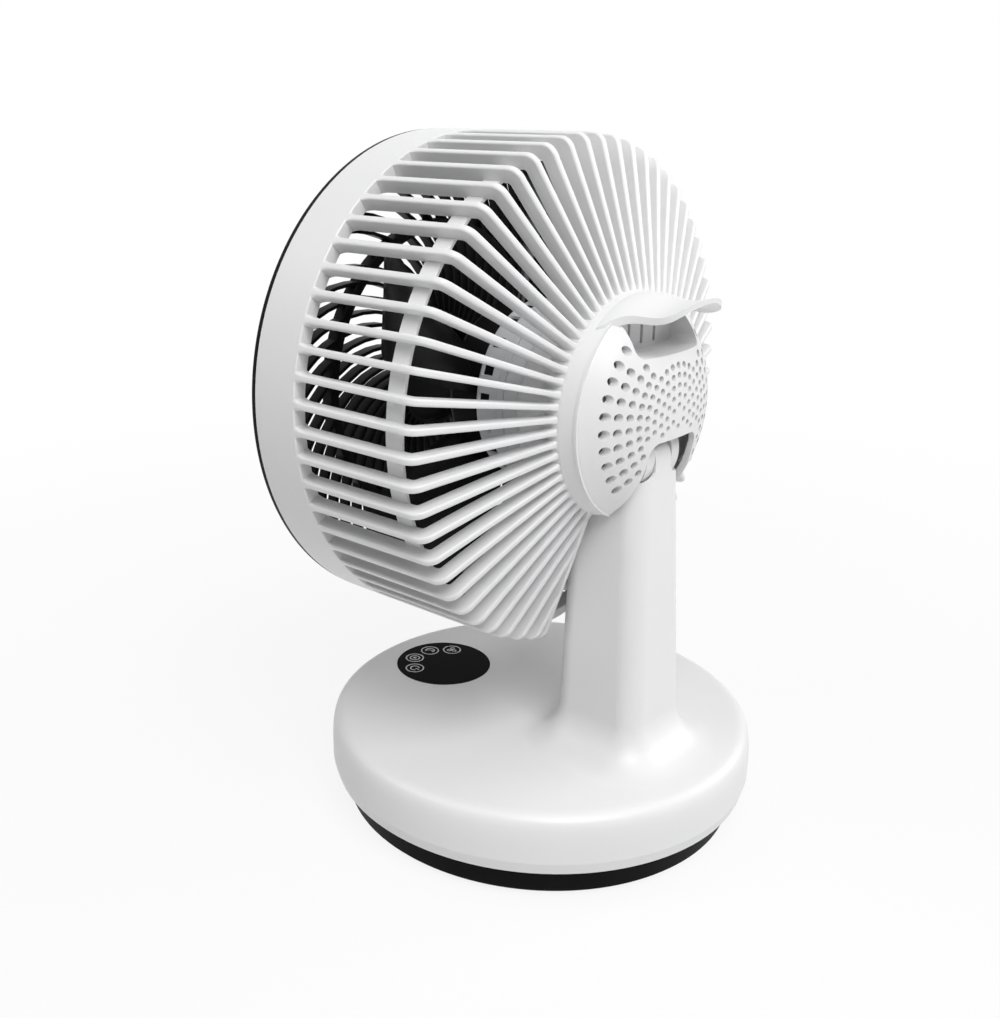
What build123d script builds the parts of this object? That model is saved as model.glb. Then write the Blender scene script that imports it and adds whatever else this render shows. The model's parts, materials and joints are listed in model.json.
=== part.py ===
from build123d import *
import math
import os

os.makedirs("parts", exist_ok=True)

# Desk air circulator. Millimetres, +Z up, the air is blown towards -Y,
# the pan axis is the Z axis and the pads stand on Z = 0.

# driving sizes
base_diameter = 220.0
foot_diameter = 203.2
foot_top = 16.6
band_height = 29.6
guard_diameter = 244.0
guard_depth = 97.2
band_depth = 26.9
front_overhang = 76.6
cone_rise = 24.2
hub_diameter = 106.6
motor_diameter = 88.0
head_gap = 48.8
column_width = 37.0
column_depth = 41.3
column_spread = 5.2
column_lean = 7.7
rib_count = 60
rib_width = 3.3
rib_depth = 7.2
rib_bend = 7.0
wall = 2.8
tilt_down = 8.0
sun_teeth = 48
pinion_teeth = 12
gear_module = 1.0
blade_count = 5
blade_turn = 49.0
vane_count = 48
grille_ring_r = 75.3
grille_disc_r = 30.5

# base levels and radii
base_r = base_diameter / 2
foot_r = foot_diameter / 2
pad_top = 2.0
foot_floor = pad_top + 2.5
floor_low = foot_top + 1.0
floor_top = floor_low + 2.4
skirt_low = foot_top + 0.5
base_top = skirt_low + band_height
shell_under = base_top - wall
skirt_r = base_r - 1.7
floor_r = skirt_r - wall
post_r = 15.0
post_top = floor_low + 9.7
hub_top = post_top - 0.3
bore_r = 9.0
shoulder_r = 20.0

# head levels and radii
guard_r = guard_diameter / 2
corner_r = guard_r - 0.3
axis_z = base_top + head_gap + guard_r
front_y = -front_overhang
band_back = front_y + band_depth
corner_y = front_y + guard_depth
hub_y = corner_y + cone_rise
hub_r = hub_diameter / 2
inner_r = guard_r - rib_depth
ring_front = corner_y - 19.7
ring_back = corner_y - 10.3
cup_r = motor_diameter / 2
bulk_back = hub_y - 26.3
bulk_front = bulk_back - 3.0
cup_front = bulk_front - 25.5
collar_r = hub_r - 5.0

# column and hinge
column_y = hub_y + 1.25
column_half = column_width / 2
column_front = column_y - column_depth / 2
column_back = column_y + column_depth / 2
hinge_y = hub_y + 1.9
hinge_z = axis_z - 20.2
column_top = hinge_z - 10.3
knuckle_r = 15.0
cheek_r = 19.5
tongue_half = 6.5
cheek_in = tongue_half + 0.7
cheek_out = cheek_in + 6.4
pin_r = 4.0
slot_half = column_half + column_spread + 0.4
slot_wall = 2.4
slot_front = corner_y - 14.5

# control panel
panel_r = 26.5
panel_y = -68.0
panel_depth = 2.0
board_top = shell_under - 3.8

# pan drive
gear_low = foot_floor
gear_top = gear_low + 8.5
sun_r = sun_teeth * gear_module / 2
pinion_r = pinion_teeth * gear_module / 2
drive_distance = sun_r + pinion_r
drive_angle = 210.0
drive_x = drive_distance * math.cos(math.radians(drive_angle))
drive_y = drive_distance * math.sin(math.radians(drive_angle))
motor_x = drive_x * (1 + 8.0 / drive_distance)
motor_y = drive_y * (1 + 8.0 / drive_distance)

# fan
shaft_r = 3.0
blade_tip = inner_r - 6.5
blade_hub_r = cup_r - 4.0
blade_hub_front = cup_front - 27.0
blade_hub_back = cup_front - 2.5
blade_y = cup_front - 13.5


def ring_z(points):
    """Solid of revolution about the pan axis from (radius, height) points."""
    face = make_face(Polyline(*[(r, 0, z) for r, z in points], close=True))
    return revolve(face, Axis.Z, 360)


def ring_head(points):
    """Solid of revolution about the fan axis from (radius, y) points."""
    face = make_face(Polyline(*[(r, y, 0) for r, y in points], close=True))
    return Pos(0, 0, axis_z) * revolve(face, Axis.Y, 360)


def tube(outer, inner, low, high):
    return ring_z([(inner, low), (outer, low), (outer, high), (inner, high)])


def head_tube(outer, inner, back, front):
    return ring_head([(inner, front), (outer, front), (outer, back), (inner, back)])


def post(x, y, low, high, radius):
    return Pos(x, y, (low + high) / 2) * Cylinder(radius, high - low)


def along_y(x, z, front, back, radius):
    rod = Rot(90, 0, 0) * Cylinder(radius, back - front)
    return Pos(x, (front + back) / 2, z) * rod


def along_x(y, z, left, right, radius):
    rod = Rot(0, 90, 0) * Cylinder(radius, right - left)
    return Pos((left + right) / 2, y, z) * rod


def block(x0, x1, y0, y1, z0, z1):
    middle = Pos((x0 + x1) / 2, (y0 + y1) / 2, (z0 + z1) / 2)
    return middle * Box(x1 - x0, y1 - y0, z1 - z0)


def joined(pieces):
    whole = pieces[0]
    if len(pieces) > 1:
        whole = whole + pieces[1:]
    return whole


def around(count, radius, start=0.0):
    """Places on a circle about the pan axis."""
    places = []
    for k in range(count):
        angle = math.radians(start + 360.0 * k / count)
        places.append((radius * math.cos(angle), radius * math.sin(angle)))
    return places


def wire(points, radius):
    """Round lead through the points, with a ball at each bend."""
    pieces = []
    for a, b in zip(points, points[1:]):
        run = Vector(*b) - Vector(*a)
        plane = Plane(origin=a, z_dir=run)
        pieces.append(extrude(plane * Circle(radius), run.length))
        pieces.append(Pos(*b) * Sphere(radius))
    return joined(pieces[:-1])


def gear_face(teeth, turn):
    """Involute gear outline with thinned teeth for running clearance."""
    pitch = teeth * gear_module / 2
    base = pitch * math.cos(math.radians(20))
    root = pitch - 1.2 * gear_module
    tip = pitch + 0.9 * gear_module
    half = (math.pi / 2 - 0.16) / teeth
    roll = math.tan(math.radians(20)) - math.radians(20)
    points = []
    for k in range(teeth):
        middle = math.radians(turn) + 2 * math.pi * k / teeth
        flank = []
        for step in range(6):
            start = max(base, root)
            radius = start + (tip - start) * step / 5
            press = math.acos(min(1.0, base / radius))
            angle = half + roll - (math.tan(press) - press)
            flank.append((radius, angle))
        foot_angle = flank[0][1]
        outline = [(root, foot_angle)] + flank
        left = [(r, middle - a) for r, a in outline]
        right = [(r, middle + a) for r, a in reversed(outline)]
        for radius, angle in left + right:
            points.append((radius * math.cos(angle), radius * math.sin(angle)))
    clean = [points[0]]
    for point in points[1:]:
        if math.dist(point, clean[-1]) > 0.01:
            clean.append(point)
    return make_face(Polyline(*clean, close=True))


# stationary pieces

def foot_plate():
    body = ring_z([
        (0, pad_top), (foot_r - 1.2, pad_top), (foot_r, pad_top + 1.2),
        (foot_r, foot_top), (foot_r - 3, foot_top), (foot_r - 3, foot_floor),
        (shoulder_r, foot_floor), (shoulder_r, floor_low - 0.3),
        (post_r, floor_low - 0.3), (post_r, post_top), (bore_r, post_top),
        (bore_r, foot_floor), (0, foot_floor)])
    window = block(-shoulder_r - 1, -bore_r + 1, -3, 3, foot_floor, gear_low + 3.6)
    inlet = along_x(0, inlet_z(), -foot_r - 1, -foot_r + 4, 4.6)
    body = body - window - inlet
    for x, y in around(3, 12.0, 90):
        body = body - post(x, y, post_top - 8, post_top + 1, 1.2)
    for x, y in around(3, 68.0, 30):
        body = body - post(x, y, pad_top + 0.6, foot_floor + 1, 1.5)
    return body


def inlet_z():
    return foot_floor + 5.5


def foot_pads():
    return [post(x, y, 0, pad_top, 9.0) for x, y in around(4, foot_r - 16, 45)]


def ballast_top():
    return foot_floor + 4.5


def ballast_plate():
    plate = tube(foot_r - 8, 42.0, foot_floor, ballast_top())
    plate = plate - block(-foot_r, -foot_r + 24, -9, 9, 0, ballast_top() + 1)
    for x, y in around(3, 68.0, 30):
        plate = plate - post(x, y, 0, ballast_top() + 1, 1.5)
    return plate


def ballast_screws():
    screws = []
    for x, y in around(3, 68.0, 30):
        head = post(x, y, ballast_top(), ballast_top() + 2, 3.2)
        shank = post(x, y, pad_top + 0.6, ballast_top() + 0.5, 1.5)
        screws.append(head + shank)
    return screws


def power_inlet():
    z = inlet_z()
    edge = -foot_r + 3.2
    body = block(edge, edge + 13, -5.5, 5.5, foot_floor, z + 5.0)
    nose = along_x(0, z, -foot_r + 0.4, edge + 1, 4.6)
    bore = along_x(0, z, -foot_r - 1, edge + 8, 2.75)
    pin = along_x(0, z, -foot_r + 2.4, edge + 8.5, 1.0)
    return body + nose - bore + pin


def inlet_lead():
    start = -foot_r + 15.7
    over = ballast_top() + 1.5
    low = foot_floor + 1.5
    points = [(start, 0, over), (-40.0, 0, over), (-40.0, 0, low), (-bore_r + 4, 0, low)]
    lead = wire(points, 1.4)
    return lead - block(start - 5, -foot_r + 16.2, -5.5, 5.5, 0, 40)


def pan_gear():
    profile = gear_face(sun_teeth, 0.0)
    body = Pos(0, 0, gear_low) * extrude(profile, gear_top - gear_low)
    body = body - post(0, 0, gear_low - 1, gear_top + 1, shoulder_r)
    return body - block(-40, 0, -3, 3, 0, gear_low + 3.6)


def pan_retainer():
    washer = tube(shoulder_r + 0.5, bore_r, post_top, post_top + 2)
    for x, y in around(3, 12.0, 90):
        washer = washer - post(x, y, post_top - 1, post_top + 3, 1.2)
    return washer


def retainer_screws():
    screws = []
    for x, y in around(3, 12.0, 90):
        head = post(x, y, post_top + 2, post_top + 3.8, 2.4)
        shank = post(x, y, post_top - 7, post_top + 2.5, 1.2)
        screws.append(head + shank)
    return screws


# pieces that pan

def base_floor():
    floor = tube(floor_r, post_r + 0.06, floor_low, floor_top)
    floor = floor + tube(shoulder_r - 0.6, post_r + 0.06, floor_low, hub_top)
    floor = floor - post(drive_x, drive_y, 0, floor_top + 1, 4.0)
    for x, y in around(6, base_r - 18, 0):
        floor = floor - post(x, y, 0, floor_top + 1, 1.6)
        floor = floor - post(x, y, 0, floor_low + 1.4, 3.1)
    for x, y in ear_places():
        floor = floor - post(x, y, floor_low + 0.4, floor_top + 1, 1.3)
    return floor


def floor_screws():
    screws = []
    for x, y in around(6, base_r - 18, 0):
        head = post(x, y, floor_low + 0.2, floor_low + 1.4, 3.0)
        shank = post(x, y, floor_low + 1.0, floor_top + 7, 1.6)
        screws.append(head + shank)
    return screws


def column_outline(inset, level):
    """Outline of the column at a height: it widens and leans back downwards."""
    share = (column_top - level) / (column_top - base_top)
    wide = column_width + 2 * column_spread * share - 2 * inset
    deep = column_depth + column_lean * share - 2 * inset
    middle = column_y + column_lean * share / 2
    return Pos(0, middle, level) * RectangleRounded(wide, deep, 10.0 - inset)


def column_block(inset, low, high):
    return loft([column_outline(inset, low), column_outline(inset, high)], ruled=True)


def column_shoulder(grow):
    """Wedge that leans the front of the column top back from the guard."""
    top = column_top + 30
    low = column_top - 34
    lean = column_front + 9 - grow
    points = [
        (0, column_front - 20, low - 1), (0, column_front - grow, low - 1),
        (0, column_front - grow, low), (0, lean, column_top),
        (0, lean, top), (0, column_front - 20, top)]
    face = make_face(Polyline(*points, close=True))
    return extrude(face, column_width, both=True)


def base_body():
    rim = Spline(*rim_curve(), tangents=[(0, 0, 1), (-1, 0, 0)])
    side = Polyline(
        (0, 0, base_top), (0, 0, skirt_low), (skirt_r, 0, skirt_low),
        (base_r, 0, skirt_low + 6), rim @ 0)
    disc = revolve(make_face([side, rim, Line(rim @ 1, (0, 0, base_top))]), Axis.Z, 360)
    stem = column_block(0, skirt_low + 2, column_top)
    body = disc + stem
    edges = body.edges().filter_by(
        lambda e: abs(e.bounding_box().min.Z - base_top) < 0.01
        and abs(e.bounding_box().max.Z - base_top) < 0.01
        and e.center().Y > column_front - 2
        and abs(e.center().X) < column_half + column_spread + 1)
    body = fillet(edges, flare_radius())
    return body - column_shoulder(0)


def rim_curve():
    """Points up the rounded edge of the base, from the band to the flat top."""
    low = base_top - 15
    return [
        (base_r, 0, low), (base_r - 0.3, 0, low + 6), (base_r - 1.1, 0, low + 10.2),
        (base_r - 2.6, 0, low + 12.9), (base_r - 5, 0, low + 14.5),
        (base_r - 8.4, 0, base_top)]


def flare_radius():
    room = base_r - 9 - column_back - column_lean
    return min(20.0, room - 2)


def tongue():
    """Side view of the neck between the column and the hinge."""
    low = column_top - 6
    foot = Pos((column_front + 11 + column_back) / 2, low + 3) * Rectangle(
        column_back - column_front - 11, 6)
    front = Pos(hinge_y, hinge_z) * Circle(knuckle_r)
    back = Pos(column_back - 12.4, hinge_z - 2.6) * Circle(12.2)
    outline = make_hull(foot.edges() + front.edges() + back.edges())
    neck = extrude(Plane.YZ * outline, tongue_half, both=True)
    flare = make_face(Polyline(
        (0, 0, low), (tongue_half + 7.5, 0, low), (tongue_half + 7.5, 0, column_top),
        (tongue_half + 4, 0, column_top + 0.5), (tongue_half + 1.8, 0, column_top + 1.8),
        (tongue_half + 0.5, 0, column_top + 4), (0, 0, column_top + 4), close=True))
    flare = extrude(flare, 4.4, dir=(0, -1, 0))
    flare = Pos(0, column_back, 0) * flare
    flare = flare & column_block(0, low - 1, column_top + 5)
    return neck + flare + mirror(flare, Plane.YZ)


def base_housing():
    body = base_body() + tongue()
    hollow = ring_z([
        (0, skirt_low - 1), (floor_r, skirt_low - 1),
        (floor_r, shell_under - 6), (floor_r - 5, shell_under),
        (0, shell_under)])
    bore = column_block(wall, skirt_low, column_top - 13)
    body = body - hollow - (bore - column_shoulder(-wall))
    for side in (-1, 1):
        near = side * (tongue_half + 0.001)
        far = side * (cheek_out + 0.7)
        body = body - along_x(hinge_y, hinge_z, min(near, far), max(near, far), cheek_r + 0.8)
    body = body - along_x(hinge_y, hinge_z, -30, 30, pin_r + 0.06)
    body = body - post(0, column_y - 8, column_top - 14, column_top + 3, 3.0)
    body = body - along_y(0, column_top + 1, column_front, column_y - 8, 3.0)
    body = body - post(0, panel_y, base_top - panel_depth, base_top + 5, panel_r + 0.15)
    body = body - post(0, panel_y, shell_under - 5, base_top, panel_r - 4)
    for x, y in around(6, base_r - 18, 0):
        boss = post(x, y, floor_top, shell_under + 0.5, 4.2)
        body = body + boss - post(x, y, floor_top - 1, floor_top + 8, 1.6)
    for x, y in board_posts():
        body = body + post(x, y, board_top, shell_under + 0.5, 2.6)
    return body


def board_posts():
    places = []
    for angle in (-30, 90, 210):
        turn = math.radians(angle)
        reach = panel_r - 2.2
        places.append((reach * math.cos(turn), panel_y + reach * math.sin(turn)))
    return places


def control_panel():
    return post(0, panel_y, base_top - panel_depth, base_top + 0.2, panel_r)


def control_board():
    board = post(0, panel_y, board_top - 1.6, board_top, panel_r)
    chip = block(-7, 7, panel_y - 7, panel_y + 7, board_top - 3.4, board_top - 1.6)
    return board + chip


def icon_places():
    places = []
    for step in (-1.5, -0.5, 0.5, 1.5):
        turn = math.radians(-90 + 43 * step)
        reach = panel_r * 0.66
        places.append((reach * math.cos(turn), panel_y + reach * math.sin(turn)))
    return places


def touch_springs():
    top = base_top - panel_depth
    return [tube_at(x, y, board_top, top, 2.4, 1.5) for x, y in icon_places()]


def tube_at(x, y, low, high, outer, inner):
    return post(x, y, low, high, outer) - post(x, y, low - 1, high + 1, inner)


def indicator_lamps():
    lamps = []
    for x in (-6.0, 0.0, 6.0):
        lamps.append(block(x - 1.5, x + 1.5, panel_y + 3, panel_y + 5, board_top, board_top + 1.2))
    return lamps


def ear_places():
    turn = math.radians(drive_angle + 90)
    reach = 17.5
    dx = reach * math.cos(turn)
    dy = reach * math.sin(turn)
    return [(motor_x + dx, motor_y + dy), (motor_x - dx, motor_y - dy)]


def pan_motor():
    can = post(motor_x, motor_y, floor_top, floor_top + 18.5, 14.0)
    boss = post(drive_x, drive_y, floor_low, floor_top + 1, 4.0)
    body = can + boss
    for x, y in ear_places():
        ear = post(x, y, floor_top, floor_top + 1.6, 3.4)
        run = Pos((x + motor_x) / 2, (y + motor_y) / 2, floor_top + 0.8)
        arm = run * Rot(0, 0, drive_angle + 90) * Box(17.5, 6.8, 1.6)
        body = body + ear + arm
    for x, y in ear_places():
        body = body - post(x, y, floor_top - 1, floor_top + 3, 1.3)
    return body - post(drive_x, drive_y, 0, floor_top + 9, 2.56)


def pan_motor_screws():
    screws = []
    for x, y in ear_places():
        head = post(x, y, floor_top + 1.6, floor_top + 3.2, 2.6)
        shank = post(x, y, floor_low + 0.4, floor_top + 2, 1.3)
        screws.append(head + shank)
    return screws


def pan_pinion():
    gap_turn = drive_angle + 180
    profile = gear_face(pinion_teeth, gap_turn + 180.0 / pinion_teeth)
    low = gear_top - 4.6
    gear = Pos(drive_x, drive_y, low) * extrude(profile, gear_top - low)
    shaft = post(drive_x, drive_y, low, floor_top + 8.5, 2.5)
    return gear + shaft


def column_lead():
    points = [
        (0, 30, floor_top + 4), (0, column_y, floor_top + 18),
        (0, column_y - 8, column_top - 30), (0, column_y - 8, column_top - 1)]
    return wire(points, 2.2)


# pieces that tilt

def rib_outline():
    """Rib seen along its width, as (radius, y) points."""
    slope = math.atan2(cone_rise, corner_r - hub_r)
    outer = [(corner_r, band_back - 1)]
    sweep = math.pi / 2 - slope
    back_off = rib_bend * math.tan(sweep / 2)
    centre_r = corner_r - rib_bend
    centre_y = corner_y - back_off
    for step in range(7):
        turn = sweep * step / 6
        outer.append((
            centre_r + rib_bend * math.cos(turn), centre_y + rib_bend * math.sin(turn)))
    outer.append((hub_r - 1, hub_y))
    drop = rib_depth / math.cos(slope)
    inner = [
        (hub_r - 1, hub_y - drop),
        (inner_r, corner_y + (corner_r - inner_r) * math.tan(slope) - drop),
        (inner_r, band_back - 1)]
    return outer + inner


def rib_envelope():
    return ring_head(rib_outline())


def slot_ribs():
    """Border walls of the opening that lets the column into the guard."""
    out = slot_half + slot_wall
    low = axis_z - guard_r - 5
    high = axis_z - collar_r + 3
    frame = block(-out, out, slot_front - slot_wall, hub_y + 5, low, high)
    inside = block(-slot_half, slot_half, slot_front, hub_y + 6, low - 1, high + 1)
    return rib_envelope() & (frame - inside)


def one_rib():
    """Rib that narrows from the drum to the hub."""
    face = make_face(Polyline(*[(r, y, 0) for r, y in rib_outline()], close=True))
    full = rib_width / 2
    slim = full * 0.72
    plan = make_face(Polyline(
        (hub_r - 4, 0, -slim), (corner_r - 10, 0, -full), (guard_r + 2, 0, -full),
        (guard_r + 2, 0, full), (corner_r - 10, 0, full), (hub_r - 4, 0, slim),
        close=True))
    wedge = extrude(plan, 200, dir=(0, 1, 0), both=True)
    return extrude(face, full, both=True) & wedge


def rear_guard():
    rib = one_rib()
    pieces = [ring_head([
        (guard_r - 2.8, front_y), (guard_r, front_y), (guard_r, band_back),
        (inner_r + 0.5, band_back), (guard_r - 2.8, band_back - 8)])]
    for k in range(rib_count):
        angle = 360.0 * (k + 0.5) / rib_count
        pieces.append(Pos(0, 0, axis_z) * Rot(0, angle, 0) * rib)
    pieces.append(head_tube(inner_r + 0.8, inner_r - 1.9, ring_back, ring_front))
    pieces.append(hub_shell())
    guard = joined(pieces)
    low = axis_z - guard_r - 5
    guard = guard - block(
        -slot_half, slot_half, slot_front, bulk_back + 1, low, axis_z - hub_r + 2)
    guard = guard - block(
        -slot_half, slot_half, bulk_back + 0.5, hub_y + 5, low, axis_z)
    guard = guard + slot_ribs()
    return guard - head_tools()


def hub_shell():
    """Collar that carries the ribs, with the bulkhead for the motor."""
    collar = ring_head([
        (cup_r - 2, bulk_front), (cup_r, bulk_front), (collar_r, bulk_front + 4),
        (hub_r - 2, hub_y - 12), (hub_r, hub_y - 8), (hub_r, hub_y),
        (hub_r - 3.2, hub_y), (hub_r - 3.2, hub_y - 8), (collar_r - 3, bulk_back + 3),
        (cup_r - 2, bulk_back)])
    plate = head_tube(cup_r - 1, 7.0, bulk_back, bulk_front)
    boss = head_tube(9.6, 7.0, bulk_back, bulk_front - 4)
    return collar + plate + boss


def cup_screw_places():
    places = []
    for angle in (30, 90, 150, 210, 330):
        turn = math.radians(angle)
        places.append(((cup_r - 7) * math.cos(turn), axis_z + (cup_r - 7) * math.sin(turn)))
    return places


def cheek_screw_places():
    places = []
    for side in (-1, 1):
        x = side * (cheek_in + 3.2)
        places.append((x, hinge_z - 1))
        places.append((x, hinge_z + 9))
    return places


def head_tools():
    tools = []
    for x, z in cup_screw_places():
        tools.append(along_y(x, z, bulk_front - 1, bulk_back + 1, 1.5))
    for x, z in cheek_screw_places():
        tools.append(along_y(x, z, bulk_front - 1, bulk_back + 1, 1.5))
    return joined(tools)


def cup_screws():
    screws = []
    for x, z in cup_screw_places():
        head = along_y(x, z, bulk_back, bulk_back + 1.8, 2.8)
        shank = along_y(x, z, bulk_front - 7, bulk_back + 0.5, 1.5)
        screws.append(head + shank)
    return screws


def cheek_screws():
    screws = []
    for x, z in cheek_screw_places():
        head = along_y(x, z, bulk_front - 1.8, bulk_front, 2.6)
        shank = along_y(x, z, bulk_front - 0.5, bulk_back + 6, 1.5)
        screws.append(head + shank)
    return screws


def motor_cup():
    cup = ring_head([
        (8.0, cup_front), (cup_r - 1.5, cup_front), (cup_r, cup_front + 1.5),
        (cup_r, bulk_front), (cup_r - 2, bulk_front), (cup_r - 2, cup_front + 2),
        (12.0, cup_front + 2), (12.0, cup_front + 6.5), (8.0, cup_front + 6.5)])
    for x, z in cup_screw_places():
        cup = cup + along_y(x, z, bulk_front - 9, bulk_front, 3.4) + lug_to_wall(x, z)
        cup = cup - along_y(x, z, bulk_front - 7, bulk_front + 1, 1.5)
    for k in range(12):
        turn = math.radians(30 * k + 15)
        x = (cup_r - 1) * math.cos(turn)
        z = (cup_r - 1) * math.sin(turn)
        vent = Pos(x, cup_front + 7.0, axis_z + z) * Rot(0, -30 * k - 15, 0) * Box(6, 3.2, 7)
        cup = cup - vent
    return cup


def lug_to_wall(x, z):
    rise = z - axis_z
    reach = math.hypot(x, rise)
    angle = math.degrees(math.atan2(rise, x))
    length = cup_r - 1 - reach
    lug = Pos(reach + length / 2, 0, 0) * Box(length, 9, 3)
    return Pos(0, bulk_front - 4.5, axis_z) * Rot(0, -angle, 0) * lug


def bearings():
    front = head_tube(8.0, shaft_r, cup_front + 5.5, cup_front + 0.5)
    back = head_tube(7.0, shaft_r, bulk_back - 0.5, bulk_back - 5.5)
    return [front, back]


def stator_core():
    core = head_tube(cup_r - 2, 21.5, cup_front + 17, cup_front + 12)
    for x, z in cup_screw_places():
        core = core - along_y(x, z, cup_front + 5, bulk_front + 5, 3.6)
        core = core - grown_lug(x, z)
    return core


def grown_lug(x, z):
    rise = z - axis_z
    angle = math.degrees(math.atan2(rise, x))
    lug = Pos(cup_r - 4, 0, 0) * Box(10, 12, 3.2)
    return Pos(0, bulk_front - 5.5, axis_z) * Rot(0, -angle, 0) * lug


def stator_windings():
    coils = []
    for k in range(6):
        angle = 60.0 * k
        coil = Pos(25.5, 0, 0) * (Box(6, 2.2, 12) + Pos(0, -7.2, 0) * Box(6, 2.2, 12))
        turned = Rot(0, -angle, 0) * coil
        coils.append(Pos(0, cup_front + 18.1, axis_z) * turned)
    solids = []
    for coil in coils:
        solids.extend(coil.solids())
    return solids


def hinge_cheeks():
    cheeks = []
    for side in (-1, 1):
        a = side * cheek_in
        b = side * cheek_out
        near = min(a, b)
        far = max(a, b)
        disc = along_x(hinge_y, hinge_z, near, far, cheek_r)
        arm = block(near, far, bulk_back, hinge_y, hinge_z - 5.5, hinge_z + 13.3)
        cheek = disc + arm - along_x(hinge_y, hinge_z, near - 1, far + 1, pin_r)
        for x, z in cheek_screw_places():
            cheek = cheek - along_y(x, z, bulk_back - 1, bulk_back + 6, 1.5)
        cheeks.append(cheek)
    return cheeks


def tilt_pin():
    shaft = along_x(hinge_y, hinge_z, -cheek_out - 1.2, cheek_out, pin_r)
    return shaft + along_x(hinge_y, hinge_z, cheek_out, cheek_out + 1.8, 6.5)


def pin_clip():
    clip = along_x(hinge_y, hinge_z, -cheek_out - 1.2, -cheek_out, 7.0)
    return clip - along_x(hinge_y, hinge_z, -cheek_out - 2, -cheek_out + 1, pin_r)


def friction_washers():
    washers = []
    for side in (-1, 1):
        a = side * (tongue_half + 0.1)
        b = side * cheek_in
        disc = along_x(hinge_y, hinge_z, min(a, b), max(a, b), 12.5)
        washers.append(disc - along_x(hinge_y, hinge_z, -20, 20, pin_r))
    return washers


def motor_board():
    low = hinge_z + knuckle_r + 6
    board = block(-17, 17, bulk_back + 3, bulk_back + 4.6, low, axis_z + cup_r - 12)
    stand = joined([
        along_y(x, z, bulk_back, bulk_back + 3.2, 2.2)
        for x in (-13, 13) for z in (low + 4, low + 10)])
    cap = along_y(8, low + 8, bulk_back + 4, bulk_back + 12, 4.0)
    cap = cap + along_y(-8, low + 8, bulk_back + 4, bulk_back + 9, 3.0)
    return board + stand + cap


def front_grille():
    pieces = [
        head_tube(guard_r - 0.2, guard_r - 9, front_y, front_y - 2.9),
        head_tube(guard_r - 2.9, guard_r - 5.4, front_y + 9, front_y - 1.0),
        head_tube(grille_ring_r + 2.7, grille_ring_r - 2.7, front_y + 4.4, front_y - 2.6),
        head_tube(grille_disc_r, 0.01, front_y - 1.0, front_y - 3.4),
        head_tube(grille_disc_r, grille_disc_r - 2.4, front_y + 4, front_y - 1.9)]
    face = vane_face()
    for k in range(vane_count):
        vane = extrude(face, 6.5)
        turned = Rot(0, 360.0 * k / vane_count, 0) * (Rot(-90, 0, 0) * vane)
        pieces.append(Pos(0, front_y - 2.2, axis_z) * turned)
    grille = joined(pieces)
    for x, z in grille_screw_places():
        grille = grille - along_y(x, z, front_y - 4, front_y + 12, 1.3)
    return grille


def vane_face():
    """Spiral vane in plan, from the middle disc to the rim."""
    start = grille_disc_r - 1.2
    stop = guard_r - 4.5
    steps = 8
    middle = []
    for k in range(steps + 1):
        radius = start + (stop - start) * k / steps
        angle = math.radians(52.0) * (k / steps) ** 1.15
        middle.append((radius * math.cos(angle), radius * math.sin(angle)))
    left = []
    right = []
    for k, (x, y) in enumerate(middle):
        before = middle[max(0, k - 1)]
        after = middle[min(steps, k + 1)]
        dx = after[0] - before[0]
        dy = after[1] - before[1]
        size = math.hypot(dx, dy)
        left.append((x - dy / size * 0.9, y + dx / size * 0.9))
        right.append((x + dy / size * 0.9, y - dx / size * 0.9))
    return make_face(Polyline(*(left + right[::-1]), close=True))


def grille_screw_places():
    places = []
    for angle in (45, 135, 225, 315):
        turn = math.radians(angle)
        reach = guard_r - 7
        places.append((reach * math.cos(turn), axis_z + reach * math.sin(turn)))
    return places


def grille_screws():
    screws = []
    for x, z in grille_screw_places():
        screws.append(along_y(x, z, front_y - 2.9, front_y - 0.2, 1.3))
    return screws


# rear cap

cap_bead_y = hub_y + 12.0
cap_bead_r = hub_r - 1.5
cap_edge_drop = 3.4
cap_edge_y = cap_bead_y - cap_edge_drop
cap_wall = 2.6
dome_rise = 16.0
lip_back = cap_bead_y + 28.0
pocket_floor = axis_z + 28.0
pocket_wall_y = cap_bead_y - 6.0
notch_top = axis_z - 10.5


def dome_y(radius):
    """Height of the cap face at a distance from the fan axis."""
    share = min(1.0, radius / cap_bead_r)
    edge = max(0.0, (share - 0.66) / 0.34)
    return cap_bead_y + dome_rise * (1 - share ** 2.6) - cap_edge_drop * edge ** 2


def cap_solid(inset):
    """Outer or inner form of the cap, with its dome as one smooth curve."""
    points = []
    for k in range(9):
        radius = cap_bead_r * (1 - (k / 8) ** 1.6)
        points.append((radius - inset * radius / cap_bead_r, dome_y(radius) - inset))
    dome = Spline(*points, tangents=[(-0.45, 0.89), (-1, 0)])
    low = hub_y - inset * 0.5
    side = Polyline((0, points[-1][1]), (0, low), (hub_r - inset, low))
    wall = Line((hub_r - inset, low), points[0])
    return Pos(0, 0, axis_z) * revolve(make_face([side, wall, dome]), Axis.Y, 360)


def pocket_tool(grow):
    """Finger recess under the lip, kept inside the cap's side wall."""
    low = pocket_floor - grow
    shape = Pos(0, (low + axis_z + hub_r) / 2) * Rectangle(50 + 2 * grow, axis_z + hub_r - low)
    corners = shape.vertices().sort_by(Axis.Y)[:2]
    shape = fillet(corners, 4.0)
    front = pocket_wall_y - grow
    tool = Pos(0, front, 0) * Rot(90, 0, 0) * extrude(shape, -60)
    return tool & along_y(0, axis_z, front - 1, front + 61, hub_r - 3.4 + grow)


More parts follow.
